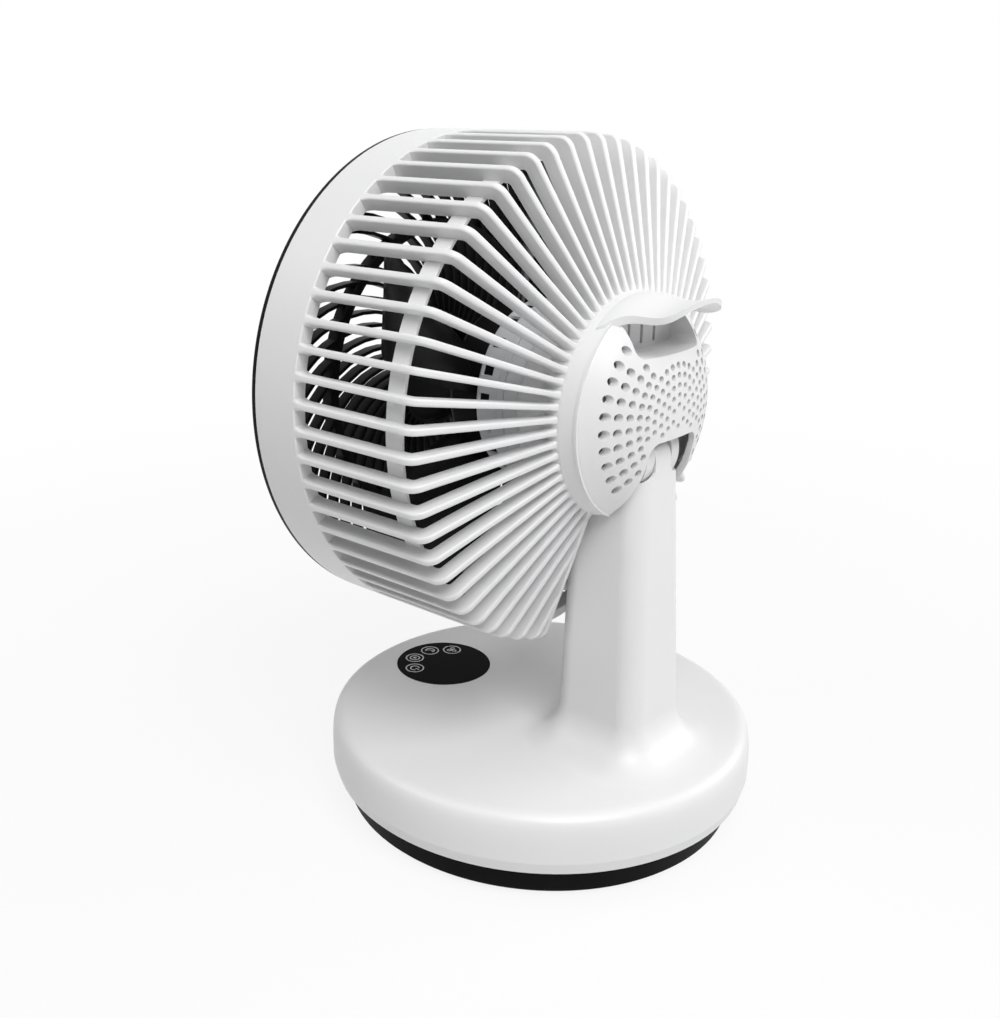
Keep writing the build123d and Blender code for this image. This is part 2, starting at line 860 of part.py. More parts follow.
def lip():
    outer = Spline(
        (hub_r - 0.05, hub_y + 4), (hub_r - 0.3, cap_bead_y), (hub_r - 1.5, cap_bead_y + 7),
        (hub_r - 2.0, cap_bead_y + 13), (hub_r - 1.2, cap_bead_y + 20), (hub_r + 0.5, lip_back))
    inner = Spline(
        (hub_r - 3.4, hub_y + 4), (hub_r - 3.6, cap_bead_y), (hub_r - 4.4, cap_bead_y + 7),
        (hub_r - 4.8, cap_bead_y + 13), (hub_r - 3.9, cap_bead_y + 20), (hub_r - 1.5, lip_back))
    face = make_face([outer, Line(outer @ 1, inner @ 1), inner, Line(inner @ 0, outer @ 0)])
    shell = Pos(0, 0, axis_z) * revolve(face, Axis.Y, 360)
    side = [
        (34.0, hub_y + 3.0), (30.6, cap_bead_y - 4.0), (26.4, cap_bead_y - 0.4),
        (23.6, cap_bead_y + 4.0), (22.0, cap_bead_y + 10.0), (21.4, cap_bead_y + 16.0),
        (19.6, cap_bead_y + 21.6), (15.0, lip_back - 3.4), (8.0, lip_back - 1.5),
        (0, lip_back - 1.0)]
    mirror_side = [(-x, y) for x, y in reversed(side[:-1])]
    edge = Spline(*(side + mirror_side))
    plan = make_face([edge, Line(mirror_side[-1], side[0])])
    return shell & (Pos(0, 0, axis_z) * extrude(plan, 80))


def notch_tool():
    """Opening at the bottom of the cap for the neck and the column."""
    low = axis_z - hub_r - 5
    near = column_half + 0.7
    shape = make_face(Polyline(
        (-near, notch_top), (near, notch_top), (near + 0.4, axis_z - 22),
        (near + 3.0, axis_z - 41), (near + 6.2, low), (-near - 6.2, low),
        (-near - 3.0, axis_z - 41), (-near - 0.4, axis_z - 22), close=True))
    corners = shape.vertices().sort_by(Axis.Y)[-2:]
    shape = fillet(corners, 6.5)
    return Pos(0, hub_y - 5, 0) * Rot(90, 0, 0) * extrude(shape, -60)


def vent_places():
    """Hole places of the cap as (x, height over the axis, radius)."""
    share = hub_r / 53.3
    places = []
    for ring in range(4):
        for k in range(10):
            turn = 48.4 - 10.33 * k
            places.append(((43.1 - 5.2 * ring) * share, turn, 2.1 - 0.15 * ring))
            places.append(((43.1 - 5.2 * ring) * share, 180 - turn, 2.1 - 0.15 * ring))
    for ring in range(5):
        pitch = 60 / (5 - ring)
        for k in range(round(360 / pitch)):
            places.append(((22.9 - 4.5 * ring) * share, 90 + pitch * k, 1.5 - 0.04 * ring))
    kept = []
    for reach, turn, size in places:
        x = reach * math.cos(math.radians(turn))
        z = reach * math.sin(math.radians(turn))
        beside = abs(x) > 21.5 - 0.07 * (z + 7)
        if (z > -7.2 or beside) and (z < 24.8 or abs(x) > 28):
            kept.append((x, z, size))
    return kept


def rear_cap():
    outer = cap_solid(0)
    inner = cap_solid(cap_wall)
    bead = head_tube(cap_bead_r + 0.7, cap_bead_r - 2, cap_edge_y + 0.5, cap_edge_y - 0.9)
    body = (outer - inner) + (pocket_tool(2.0) & outer) + bead
    body = body - pocket_tool(0) - notch_tool()
    body = body + (lip() - notch_tool())
    for x in (-10.5, 0, 10.5):
        body = body - block(
            x - 1.1, x + 1.1, pocket_wall_y - 4, pocket_wall_y + 1,
            pocket_floor + 2, pocket_floor + 13)
    for x, z, size in vent_places():
        body = body - along_y(x, axis_z + z, cap_bead_y - 6, cap_bead_y + 30, size)
    for angle in (20, 160, 90):
        hook = Pos(hub_r - 4.7, hub_y - 1.5, 0) * Box(2.0, 9, 9)
        hook = hook + Pos(hub_r - 3.9, hub_y + 1.5, 0) * Box(3.6, 3, 9)
        body = body + Pos(0, 0, axis_z) * Rot(0, -angle, 0) * hook
    return body


# pieces that spin

def fan_blade():
    hub = ring_head([
        (shaft_r, blade_hub_front), (blade_hub_r - 8, blade_hub_front),
        (blade_hub_r, blade_hub_front + 8), (blade_hub_r, blade_hub_back),
        (blade_hub_r - 2.4, blade_hub_back), (blade_hub_r - 2.4, blade_hub_front + 9),
        (blade_hub_r - 9, blade_hub_front + 2.6), (8.0, blade_hub_front + 2.6),
        (8.0, blade_hub_front + 16), (shaft_r, blade_hub_front + 16)])
    pieces = [hub]
    for k in range(blade_count):
        blade = Rot(0, 360.0 * k / blade_count + blade_turn, 0) * one_blade()
        pieces.append(Pos(0, blade_y, axis_z) * blade)
    return joined(pieces)


def one_blade():
    sections = []
    for reach, chord, pitch, sweep in (
            (blade_hub_r - 1.5, 34.0, 40.0, 0.0),
            ((blade_hub_r + blade_tip) / 2, 52.0, 31.0, 6.0),
            (blade_tip + 3, 66.0, 23.0, 14.0)):
        plane = Plane(origin=(reach, 0, sweep), x_dir=(0, 0, 1), z_dir=(1, 0, 0))
        sections.append(plane * Rot(0, 0, pitch) * Rectangle(chord, 1.9))
    return loft(sections, ruled=True) & (Rot(90, 0, 0) * Cylinder(blade_tip, 80))


def rotor_shaft():
    z = axis_z
    return along_y(0, z, blade_hub_front - 9, bulk_back - 1, shaft_r - 0.03)


def rotor_magnet():
    low = cup_front + 7.5
    drum = head_tube(20.8, 17.0, low + 14, low)
    web = head_tube(18.0, shaft_r - 0.03, low + 8, low + 5)
    return drum + web


def blade_nut():
    nut = ring_head([
        (shaft_r - 0.03, blade_hub_front - 9), (5.0, blade_hub_front - 9),
        (9.0, blade_hub_front - 5), (9.0, blade_hub_front), (shaft_r - 0.03, blade_hub_front)])
    return nut


nodes = {
    "foot_plate": foot_plate,
    "foot_pads": foot_pads,
    "ballast_plate": ballast_plate,
    "ballast_screws": ballast_screws,
    "power_inlet": power_inlet,
    "inlet_lead": inlet_lead,
    "pan_gear": pan_gear,
    "pan_retainer": pan_retainer,
    "retainer_screws": retainer_screws,
    "base_floor": base_floor,
    "floor_screws": floor_screws,
    "base_housing": base_housing,
    "control_panel": control_panel,
    "control_board": control_board,
    "touch_springs": touch_springs,
    "indicator_lamps": indicator_lamps,
    "pan_motor": pan_motor,
    "pan_motor_screws": pan_motor_screws,
    "column_lead": column_lead,
    "pan_pinion": pan_pinion,
    "rear_guard": rear_guard,
    "front_grille": front_grille,
    "grille_screws": grille_screws,
    "rear_cap": rear_cap,
    "motor_cup": motor_cup,
    "cup_screws": cup_screws,
    "bearings": bearings,
    "stator_core": stator_core,
    "stator_windings": stator_windings,
    "motor_board": motor_board,
    "hinge_cheeks": hinge_cheeks,
    "cheek_screws": cheek_screws,
    "tilt_pin": tilt_pin,
    "pin_clip": pin_clip,
    "friction_washers": friction_washers,
    "fan_blade": fan_blade,
    "rotor_shaft": rotor_shaft,
    "rotor_magnet": rotor_magnet,
    "blade_nut": blade_nut,
}

for name, build in nodes.items():
    made = build()
    if isinstance(made, list):
        made = Compound(children=made)
    made.label = name
    export_step(made, "parts/" + name + ".step")
    print(name, len(made.solids()), round(made.volume))
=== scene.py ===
import bpy
import bmesh
import json
import math
from mathutils import Matrix, Vector


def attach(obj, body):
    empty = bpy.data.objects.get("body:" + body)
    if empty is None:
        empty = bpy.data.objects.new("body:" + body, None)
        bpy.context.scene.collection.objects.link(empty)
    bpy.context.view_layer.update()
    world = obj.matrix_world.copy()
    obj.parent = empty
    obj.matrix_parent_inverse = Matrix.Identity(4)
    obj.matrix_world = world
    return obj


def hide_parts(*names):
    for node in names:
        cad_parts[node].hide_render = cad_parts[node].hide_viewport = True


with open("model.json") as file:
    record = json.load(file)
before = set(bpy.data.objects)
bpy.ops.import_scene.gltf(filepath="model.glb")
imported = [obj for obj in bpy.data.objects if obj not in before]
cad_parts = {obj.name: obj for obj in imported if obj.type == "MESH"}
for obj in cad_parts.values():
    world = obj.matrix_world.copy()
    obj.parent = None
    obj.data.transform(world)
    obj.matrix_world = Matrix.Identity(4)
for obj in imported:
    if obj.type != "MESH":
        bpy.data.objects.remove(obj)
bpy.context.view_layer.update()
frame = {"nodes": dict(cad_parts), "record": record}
print("frame loaded")

# the fan's main sizes in metres
fan = {
    "axisHeight": 0.2175,   # fan axis above the table
    "headRadius": 0.122,
    "frontEdge": -0.0766,   # front of the white drum
    "bandBack": -0.0497,    # where the ribs begin
    "cornerPlace": 0.0206,  # where the drum turns into the cone
    "hubPlace": 0.0448,     # where the cap meets the ribs
    "hubRadius": 0.0533,
}
axisPoint = Vector((0, 0, fan["axisHeight"]))


def addNode(tree, kind, settings=None, inputs=None):
    node = tree.nodes.new(kind)
    for key, value in (settings or {}).items():
        setattr(node, key, value)
    for key, value in (inputs or {}).items():
        node.inputs[key].default_value = value
    return node


def startGroup(name, inputs, outputs):
    group = bpy.data.node_groups.new(name, "ShaderNodeTree")
    for label, kind, value in inputs:
        socket = group.interface.new_socket(name=label, in_out="INPUT", socket_type=kind)
        socket.default_value = value
    for label, kind in outputs:
        group.interface.new_socket(name=label, in_out="OUTPUT", socket_type=kind)
    return group, group.nodes.new("NodeGroupInput"), group.nodes.new("NodeGroupOutput")


# moulded skin: faint colour drift, a fine spark-eroded grain and soft rubbed patches
skin = {
    "driftScale": 14.0,
    "patchScale": 60.0,
    "grainScale": 1400.0,
    "grainDepth": 0.00006,
    "roughnessDrift": 0.08,
}


def mouldedSkin():
    group, start, end = startGroup(
        "mouldedSkin",
        [("Colour", "NodeSocketColor", (0.8, 0.8, 0.8, 1)),
         ("Drift", "NodeSocketFloat", 0.02),
         ("Roughness", "NodeSocketFloat", 0.4),
         ("Roughness Drift", "NodeSocketFloat", skin["roughnessDrift"]),
         ("Grain Scale", "NodeSocketFloat", skin["grainScale"])],
        [("Colour", "NodeSocketColor"), ("Roughness", "NodeSocketFloat"),
         ("Height", "NodeSocketFloat")])
    place = addNode(group, "ShaderNodeTexCoord")
    broad = addNode(group, "ShaderNodeTexNoise", inputs={
        "Scale": skin["driftScale"], "Detail": 3.0})
    patch = addNode(group, "ShaderNodeTexNoise", inputs={
        "Scale": skin["patchScale"], "Detail": 4.0})
    grain = addNode(group, "ShaderNodeTexNoise", inputs={"Detail": 2.0, "Roughness": 0.6})
    for texture in (broad, patch, grain):
        group.links.new(place.outputs["Object"], texture.inputs["Vector"])
    group.links.new(start.outputs["Grain Scale"], grain.inputs["Scale"])
    centred = addNode(group, "ShaderNodeMath", {"operation": "SUBTRACT"}, {1: 0.5})
    group.links.new(broad.outputs["Fac"], centred.inputs[0])
    amount = addNode(group, "ShaderNodeMath", {"operation": "MULTIPLY"})
    group.links.new(centred.outputs[0], amount.inputs[0])
    group.links.new(start.outputs["Drift"], amount.inputs[1])
    value = addNode(group, "ShaderNodeMath", {"operation": "ADD"}, {1: 1.0})
    group.links.new(amount.outputs[0], value.inputs[0])
    tint = addNode(group, "ShaderNodeHueSaturation")
    group.links.new(value.outputs[0], tint.inputs["Value"])
    group.links.new(start.outputs["Colour"], tint.inputs["Color"])
    group.links.new(tint.outputs["Color"], end.inputs["Colour"])
    rub = addNode(group, "ShaderNodeMath", {"operation": "SUBTRACT"}, {1: 0.5})
    group.links.new(patch.outputs["Fac"], rub.inputs[0])
    swing = addNode(group, "ShaderNodeMath", {"operation": "MULTIPLY_ADD"})
    group.links.new(rub.outputs[0], swing.inputs[0])
    group.links.new(start.outputs["Roughness Drift"], swing.inputs[1])
    group.links.new(start.outputs["Roughness"], swing.inputs[2])
    group.links.new(swing.outputs[0], end.inputs["Roughness"])
    group.links.new(grain.outputs["Fac"], end.inputs["Height"])
    return group


skinGroup = mouldedSkin()


def mouldedPlastic(name, look):
    material = bpy.data.materials.new(name)
    material.use_nodes = True
    tree = material.node_tree
    shader = tree.nodes["Principled BSDF"]
    cover = addNode(tree, "ShaderNodeGroup")
    cover.node_tree = skinGroup
    cover.inputs["Colour"].default_value = (*look["colour"], 1)
    cover.inputs["Drift"].default_value = look.get("drift", 0.03)
    cover.inputs["Roughness"].default_value = look["roughness"]
    cover.inputs["Roughness Drift"].default_value = skin["roughnessDrift"]
    cover.inputs["Grain Scale"].default_value = skin["grainScale"]
    bump = addNode(tree, "ShaderNodeBump", inputs={
        "Strength": look.get("bump", 0.15), "Distance": skin["grainDepth"]})
    tree.links.new(cover.outputs["Colour"], shader.inputs["Base Color"])
    tree.links.new(cover.outputs["Roughness"], shader.inputs["Roughness"])
    tree.links.new(cover.outputs["Height"], bump.inputs["Height"])
    tree.links.new(bump.outputs["Normal"], shader.inputs["Normal"])
    shader.inputs["Specular IOR Level"].default_value = look.get("specular", 0.5)
    shader.inputs["Metallic"].default_value = look.get("metallic", 0.0)
    return material


looks = {
    "white_plastic": {"colour": (0.78, 0.78, 0.785), "roughness": 0.38, "drift": 0.02},
    "grey_plastic": {"colour": (0.60, 0.61, 0.62), "roughness": 0.42},
    "black_plastic": {"colour": (0.006, 0.006, 0.0065), "roughness": 0.4, "specular": 0.06},
    "blade_black": {"colour": (0.006, 0.006, 0.0065), "roughness": 0.3, "specular": 0.16},
    "panel_black": {
        "colour": (0.002, 0.002, 0.0025), "roughness": 0.14, "specular": 0.01, "bump": 0.02},
    "icon_print": {"colour": (0.62, 0.62, 0.62), "roughness": 0.5, "specular": 0.2, "bump": 0.02},
    "rubber_black": {"colour": (0.03, 0.03, 0.03), "roughness": 0.8, "bump": 0.4},
    "steel_plate": {"colour": (0.42, 0.43, 0.45), "roughness": 0.4, "metallic": 1.0},
    "steel_bright": {"colour": (0.62, 0.63, 0.65), "roughness": 0.25, "metallic": 1.0},
    "copper": {"colour": (0.65, 0.30, 0.14), "roughness": 0.35, "metallic": 1.0},
    "board_green": {"colour": (0.03, 0.17, 0.07), "roughness": 0.35},
    "lamp_plastic": {"colour": (0.8, 0.8, 0.72), "roughness": 0.3},
    "gear_plastic": {"colour": (0.75, 0.73, 0.66), "roughness": 0.45},
    "lead_jacket": {"colour": (0.06, 0.06, 0.06), "roughness": 0.6},
}
materials = {name: mouldedPlastic(name, look) for name, look in looks.items()}
slotOf = {s["node"]: s["material_slot"] for s in frame["record"]["subparts"]}
for name, node in frame["nodes"].items():
    node.data.materials.clear()
    node.data.materials.append(materials[slotOf[name]])
print("materials ready")


# shaping helpers, all around the fan axis

roundSteps = 3              # steps along a rounded corner
sharpFrom = 32              # degrees at which an edge stays sharp


def softened(corners):
    # closed outline whose corners (a, b, radius) are rounded
    outline = []
    for k, (a, b, radius) in enumerate(corners):
        here = Vector((a, b))
        if radius == 0:
            outline.append(here)
            continue
        before = (Vector(corners[k - 1][:2]) - here).normalized()
        after = (Vector(corners[(k + 1) % len(corners)][:2]) - here).normalized()
        reach = radius / math.tan(before.angle(after) / 2)
        for step in range(roundSteps + 1):
            t = step / roundSteps
            outline.append(here + before * reach * (1 - t) ** 2 + after * reach * t ** 2)
    return outline


def spunRing(bm, corners, steps=180, start=0.0, arc=360.0):
    # profile of (radius, y, rounding) turned about the fan axis
    turn = math.radians(start)
    outline = softened(corners)
    verts = [bm.verts.new((p.x * math.cos(turn), p.y, p.x * math.sin(turn))) for p in outline]
    edges = [bm.edges.new((verts[k - 1], verts[k])) for k in range(len(verts))]
    whole = arc == 360.0
    if not whole:
        bm.faces.new(verts)
    made = bmesh.ops.spin(
        bm, geom=verts + edges, cent=(0, 0, 0), axis=(0, -1, 0), angle=math.radians(arc),
        steps=steps, use_merge=whole)
    if not whole:
        last = [v for v in made["geom_last"] if isinstance(v, bmesh.types.BMVert)]
        bmesh.ops.contextual_create(bm, geom=[
            e for e in bm.edges if e.verts[0] in last and e.verts[1] in last and e.is_boundary])


def strip(bm, pairs):
    # band of faces: a first edge extruded from one pair of points to the next
    edge = bm.edges.new([bm.verts.new(p) for p in pairs[0]])
    for pair in pairs[1:]:
        made = bmesh.ops.extrude_edge_only(bm, edges=[edge])["geom"]
        edge = next(e for e in made if isinstance(e, bmesh.types.BMEdge)
                    and all(len(v.link_faces) == 1 for v in e.verts))
        near = sorted(edge.verts, key=lambda v: (v.co - Vector(pair[0])).length)
        for vert, point in zip(near, pair):
            vert.co = point
    return bm.faces[:]


def onHead(bm):
    bmesh.ops.translate(bm, verts=bm.verts, vec=axisPoint)


def finishPiece(name, bm, body, slotName, replaced=(), look=None, extra=()):
    bmesh.ops.recalc_face_normals(bm, faces=bm.faces)
    mesh = bpy.data.meshes.new(name)
    bm.to_mesh(mesh)
    bm.free()
    mesh.shade_smooth()
    mesh.set_sharp_from_angle(angle=math.radians(sharpFrom))
    mesh.materials.append(materials[look or slotName])
    for other in extra:
        mesh.materials.append(materials[other])
    piece = bpy.data.objects.new(name, mesh)
    bpy.context.scene.collection.objects.link(piece)
    even = piece.modifiers.new("evenNormals", "WEIGHTED_NORMAL")
    even.keep_sharp = True
    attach(piece, body)
    if replaced:
        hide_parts(*replaced)


# rear guard: band, ribs, inner ring, hub and the opening for the column

guard = {
    "ribs": 60,
    "width": 0.0033,        # rib on the drum
    "slimmest": 0.74,       # share of the width left at the hub
    "rounding": 0.00105,    # outer edges of a rib
    "depth": 0.0072,
    "bend": 0.007,          # between drum and cone
    "cornerRadius": 0.1217,
    "straight": (-0.0507, -0.0496, -0.0490, -0.0480, -0.0465, -0.0445, -0.025, -0.006, 0.003,
                 0.0061),   # places along the drum where a rib has points
    "sloped": (0.2, 0.4, 0.6, 0.78, 0.88, 0.93, 0.96, 0.98, 1.0),  # and shares of the cone
    "innerSoft": 0.0014,    # softening of the bend on the inner side
    "bendSteps": 12,
    "slimFrom": 0.1105,     # radius where a rib begins to narrow
    "slimTo": 0.0493,
    "bandFlare": (0.0042, 0.0011),  # reach and half width of the flare at the band
    "hubFlare": (0.004, 0.0006),
    "hubOverlap": 0.001,    # how far a rib runs into the hub
    "slotHalf": 0.0241,     # opening for the column
    "slotWall": 0.0024,
    "slotFront": 0.0061,
    "shortReach": 10,       # ribs this many degrees from the bottom stop at the slot
    "besideReach": 24,      # and these are cut off beside it
    "ringPlace": (0.0009, 0.0103),
    "ringInside": 0.0013,   # how far the ring stands in from the ribs
    "ringOverlap": 0.0008,
    "bandWall": 0.0028,
    "bandSeat": (0.002, 0.008),  # length of the thick edge at the ribs, and of its taper
    "wallsFrom": 0.002,     # the slot's walls follow the guard's outline from here back
    "wallRounding": 0.0007,
    "wallRadius": 0.1218,
    "wallEndRadius": 0.121,  # where the front wall's ends are measured
    # profiles of (radius, y, rounding): the hub that carries the cap, and the motor's seat
    "hub": ((0.0528, 0.0448, 0.0003), (0.0501, 0.0448, 0.0003), (0.0501, 0.0363, 0.001),
            (0.0454, 0.0202, 0.001), (0.0454, 0.0185, 0.0003), (0.0478, 0.0185, 0.0003),
            (0.0490, 0.0202, 0.001), (0.0514, 0.0328, 0.002), (0.0533, 0.0370, 0.002),
            (0.0533, 0.0444, 0)),
    "hubMiddle": 0.0516,
    "seat": ((0.0070, 0.0115, 0), (0.0096, 0.0115, 0.0004), (0.0096, 0.0155, 0),
             (0.0421, 0.0155, 0), (0.0440, 0.0150, 0), (0.0480, 0.0186, 0.0006),
             (0.0455, 0.0192, 0.0003), (0.0425, 0.0185, 0), (0.0070, 0.0185, 0)),
}
guardInner = fan["headRadius"] - guard["depth"]


def ribPairs():
    # outer and inner points (radius, y) along a rib, from the band to the hub
    slope = math.atan2(
        fan["hubPlace"] - fan["cornerPlace"], guard["cornerRadius"] - fan["hubRadius"])
    sweep = math.pi / 2 - slope
    bend = guard["bend"]
    centreY = fan["cornerPlace"] - bend * math.tan(sweep / 2)
    centreR = guard["cornerRadius"] - bend
    drop = guard["depth"] / math.cos(slope)
    rise = (guard["cornerRadius"] - guardInner) * math.tan(slope)
    innerCorner = fan["cornerPlace"] + rise - drop
    pairs = []
    for y in guard["straight"]:
        share = (y - fan["bandBack"]) / (centreY - fan["bandBack"])
        outer = fan["headRadius"] + (guard["cornerRadius"] - fan["headRadius"]) * max(0, share)
        pairs.append(((outer, y), (guardInner, y)))
    soft = guard["innerSoft"]
    corner = [Vector((guardInner, innerCorner - soft)), Vector((guardInner, innerCorner)),
              Vector((guardInner - soft * math.cos(slope), innerCorner + soft * math.sin(slope)))]
    for step in range(guard["bendSteps"] + 1):
        t = step / guard["bendSteps"]
        turn = sweep * t
        outer = (centreR + bend * math.cos(turn), centreY + bend * math.sin(turn))
        inner = corner[0] * (1 - t) ** 2 + corner[1] * 2 * t * (1 - t) + corner[2] * t * t
        pairs.append((outer, tuple(inner)))
    (r0, y0), (s0, z0) = pairs[-1]
    end, y1 = fan["hubRadius"] - guard["hubOverlap"], fan["hubPlace"]
    z1 = y1 - drop
    for t in guard["sloped"]:
        pairs.append((
            (r0 + (end - r0) * t, y0 + (y1 - y0) * t), (s0 + (end - s0) * t, z0 + (z1 - z0) * t)))
    return pairs


def ribHalf(radius, y):
    # half width: slimmer towards the hub, flared where it meets the band and the hub
    slimTo, slimFrom = guard["slimTo"], guard["slimFrom"]
    share = min(1.0, max(0.0, (radius - slimTo) / (slimFrom - slimTo)))
    half = guard["width"] / 2 * (guard["slimmest"] + (1 - guard["slimmest"]) * share)
    bandReach, bandMore = guard["bandFlare"]
    hubReach, hubMore = guard["hubFlare"]
    nearBand = min(1.0, max(0.0, 1 - (y - fan["bandBack"]) / bandReach))
    nearHub = min(1.0, max(0.0, 1 - (radius - fan["hubRadius"]) / hubReach))
    return half + bandMore * nearBand ** 2 + hubMore * nearHub ** 2


def ribBlank(pairs, half, rounding, segments=roundSteps):
    # rib lying flat: x across it, y along the air, z the distance from the axis
    bm = bmesh.new()
    faces = strip(bm, [((0, y, r), (0, t, s)) for (r, y), (s, t) in pairs])
    made = bmesh.ops.extrude_face_region(bm, geom=faces)["geom"]
    lifted = [v for v in made if isinstance(v, bmesh.types.BMVert)]
    for vert in bm.verts:
        vert.co.x = -half
    for vert in lifted:
        vert.co.x = half
    bmesh.ops.recalc_face_normals(bm, faces=bm.faces)
    outer = {(round(r, 6), round(y, 6)) for (r, y), pair in pairs}

    def isOuter(vert):
        return (round(vert.co.z, 6), round(vert.co.y, 6)) in outer
    rim = [e for e in bm.edges if all(isOuter(v) for v in e.verts)
           and abs(e.verts[0].co.x - e.verts[1].co.x) < 1e-7]
    bmesh.ops.bevel(
        bm, geom=rim, offset=rounding, offset_type="OFFSET", segments=segments, profile=0.5,
        affect="EDGES", material=-1, clamp_overlap=True)
    return bm


def cutAway(bm, point, normal):
    # removes what lies on the side the normal points to, and closes the cut
    cut = bmesh.ops.bisect_plane(
        bm, geom=bm.verts[:] + bm.edges[:] + bm.faces[:], plane_co=point, plane_no=normal,
        clear_outer=True)
    rim = [e for e in cut["geom_cut"] if isinstance(e, bmesh.types.BMEdge)]
    bmesh.ops.holes_fill(bm, edges=rim, sides=0)


def addTo(target, source):
    mesh = bpy.data.meshes.new("loose")
    source.to_mesh(mesh)
    source.free()
    target.from_mesh(mesh)
    bpy.data.meshes.remove(mesh)


def turnedRib(pairs, degrees):
    # degrees from straight down
    bm = ribBlank(pairs, guard["width"] / 2, guard["rounding"])
    for vert in bm.verts:
        vert.co.x *= ribHalf(vert.co.z, vert.co.y) / (guard["width"] / 2)
        vert.co.z = -vert.co.z
    bmesh.ops.rotate(
        bm, verts=bm.verts, cent=(0, 0, 0), matrix=Matrix.Rotation(-math.radians(degrees), 3, "Y"))
    return bm


def makeRibs():
    pairs = ribPairs()
    pitch = 360 / guard["ribs"]
    wallPlace = guard["slotHalf"] + guard["slotWall"] / 2
    bm = bmesh.new()
    for k in range(guard["ribs"]):
        degrees = (k + 0.5) * pitch
        fromBottom = min(degrees, 360 - degrees)
        rib = turnedRib(pairs, degrees)
        side = 1 if degrees < 180 else -1
        if fromBottom < guard["shortReach"]:
            cutAway(rib, (0, guard["slotFront"] - guard["slotWall"] / 2, 0), (0, 1, 0))
        elif fromBottom < guard["besideReach"]:
            cutAway(rib, (side * wallPlace, 0, 0), (-side, 0, 0))
        addTo(bm, rib)
    onHead(bm)
    finishPiece("guardRibs", bm, "head", "white_plastic", ["rear_guard"])


def makeSlotWalls():
    # two walls follow the guard's outline beside the column, a third closes them in front
    pairs = [p for p in ribPairs() if p[0][1] > guard["wallsFrom"]]
    soft = guard["wallRounding"]
    bm = bmesh.new()
    for side in (-1, 1):
        wall = ribBlank(pairs, guard["slotWall"] / 2, soft, 2)
        across = side * (guard["slotHalf"] + guard["slotWall"] / 2)
        for vert in wall.verts:
            x = across + vert.co.x
            vert.co = (x, vert.co.y, -math.sqrt(max(0.0, vert.co.z ** 2 - x * x)))
        cutAway(wall, (0, guard["slotFront"] - guard["slotWall"], 0), (0, -1, 0))
        addTo(bm, wall)
    radius = guard["wallRadius"]
    reach = math.degrees(math.asin(
        (guard["slotHalf"] + guard["slotWall"]) / guard["wallEndRadius"]))
    front, back = guard["slotFront"] - guard["slotWall"], guard["slotFront"]
    spunRing(bm, [
        (guardInner, front, 0), (radius, front, soft), (guard["cornerRadius"], back, soft),
        (guardInner, back, 0)], 12, -90 - reach, 2 * reach)
    onHead(bm)
    finishPiece("guardSlotWalls", bm, "head", "white_plastic", ["rear_guard"])


def makeBand():
    # the white drum in front of the ribs, and the ring that ties the ribs together inside
    outer, back = fan["headRadius"], fan["bandBack"]
    under = outer - guard["bandWall"]
    edge, taper = guard["bandSeat"]
    bm = bmesh.new()
    spunRing(bm, [
        (under, fan["frontEdge"], 0.0004), (outer, fan["frontEdge"], 0.0007),
        (outer, back, 0.0009), (guardInner, back, 0.0009),
        (guardInner, back - edge, 0.0005), (under, back - taper, 0.003)], 240)
    front, rear = guard["ringPlace"]
    near, far = guardInner - guard["ringInside"], guardInner + guard["ringOverlap"]
    ring = ((near, front), (far, front), (far, rear), (near, rear))
    spunRing(bm, [(radius, y, 0.0006) for radius, y in ring])
    onHead(bm)
    finishPiece("guardBand", bm, "head", "white_plastic", ["rear_guard"])


def makeHub():
    reach = math.degrees(math.asin(guard["slotHalf"] / guard["hubMiddle"]))
    bm = bmesh.new()
    spunRing(bm, guard["hub"], 150, -90 + reach, 360 - 2 * reach)
    spunRing(bm, guard["seat"], 120)
    onHead(bm)
    finishPiece("guardHub", bm, "head", "white_plastic", ["rear_guard"])


makeBand()
makeRibs()
makeSlotWalls()
makeHub()
print("rear guard made")


# front grille: rim, ring, middle disc and spiral vanes

grille = {
    "vanes": 48,
    "thickness": 0.0018,
    "depth": 0.0065,
    "twist": 52.0,          # degrees from the disc to the rim
    "curve": 1.15,
    "front": -0.0788,
    "reach": (0.0293, 0.1175),
    "steps": 12,            # along a vane
    "rounding": 0.0005,
    "roundedFrom": (1.2, 0.003),  # edges rounded from this angle in radians and this length
    # profiles of (radius, y, rounding)
    "rim": ((0.1166, -0.0768, 0), (0.1130, -0.0768, 0.0003), (0.1130, -0.0795, 0.0009),
            (0.1218, -0.0795, 0.0011), (0.1218, -0.0766, 0.0002), (0.1191, -0.0766, 0),
            (0.1191, -0.0676, 0.0005), (0.1166, -0.0676, 0.0005)),
    "ring": ((0.0726, -0.0792, 0.0009), (0.0780, -0.0792, 0.0009), (0.0780, -0.0722, 0.0009),
             (0.0726, -0.0722, 0.0009)),
    "disc": ((0.0281, -0.0776, 0.0005), (0.0281, -0.0726, 0.0005), (0.0305, -0.0726, 0.0005),
             (0.0305, -0.0786, 0.0014), (0.0272, -0.0798, 0.003), (0.0002, -0.0800, 0),
             (0.0002, -0.0776, 0)),
}


def vanePairs():
    near, far = grille["reach"]
    steps = grille["steps"]
    line = []
    for step in range(steps + 1):
        t = step / steps
        turn = math.radians(grille["twist"]) * t ** grille["curve"]
        radius = near + (far - near) * t
        line.append(Vector((radius * math.cos(turn), grille["front"], -radius * math.sin(turn))))
    pairs = []
    for k, point in enumerate(line):
        along = (line[min(k + 1, steps)] - line[max(k - 1, 0)]).normalized()
        aside = Vector((along.z, 0, -along.x)) * grille["thickness"] / 2
        pairs.append((point + aside, point - aside))
    return pairs


